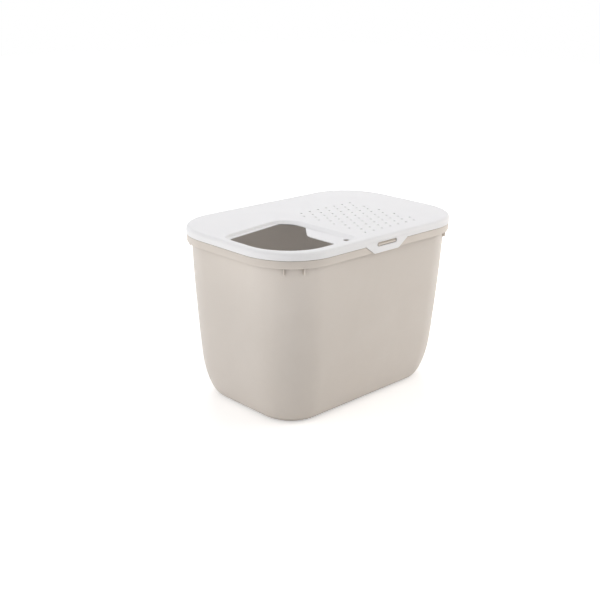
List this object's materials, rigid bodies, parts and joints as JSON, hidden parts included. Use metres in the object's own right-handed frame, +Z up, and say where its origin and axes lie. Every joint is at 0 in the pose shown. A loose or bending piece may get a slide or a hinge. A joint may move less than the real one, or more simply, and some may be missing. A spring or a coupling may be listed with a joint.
{
  "type": "top entry litter box",
  "caption": "Deep tapered bin with a rolled rim and a lift-off lid that has a recessed entry opening in one corner, a perforated field for paws and a flexing clip on each long side.",
  "frame": {"origin": "middle of the footprint, on the floor", "axes": "+X along the long side, away from the entry opening; +Y along the short side, away from the opening; +Z up"},
  "size_m": [0.585, 0.39, 0.395],
  "materials": {
    "beige_plastic": "fine matte moulded polypropylene, warm beige",
    "white_plastic": "fine satin moulded polypropylene, white"
  },
  "bodies": {
    "bin": {"bin": "beige_plastic"},
    "lid": {"lid": "white_plastic"},
    "front_clip": {"front_clip": "white_plastic"},
    "rear_clip": {"rear_clip": "white_plastic"}
  },
  "joints": [
    {"name": "lid_lift", "type": "slide", "parent": "bin", "child": "lid", "axis": [0, 0, 1], "range_m": [0, 0.25]},
    {"name": "front_clip_flex", "type": "hinge", "parent": "lid", "child": "front_clip", "pos_m": [0, -0.195, 0.385], "axis": [-1, 0, 0], "range_deg": [0, 15], "stiffness_Nm_per_rad": 2},
    {"name": "rear_clip_flex", "type": "hinge", "parent": "lid", "child": "rear_clip", "pos_m": [0, 0.195, 0.385], "axis": [1, 0, 0], "range_deg": [0, 15], "stiffness_Nm_per_rad": 2}
  ]
}
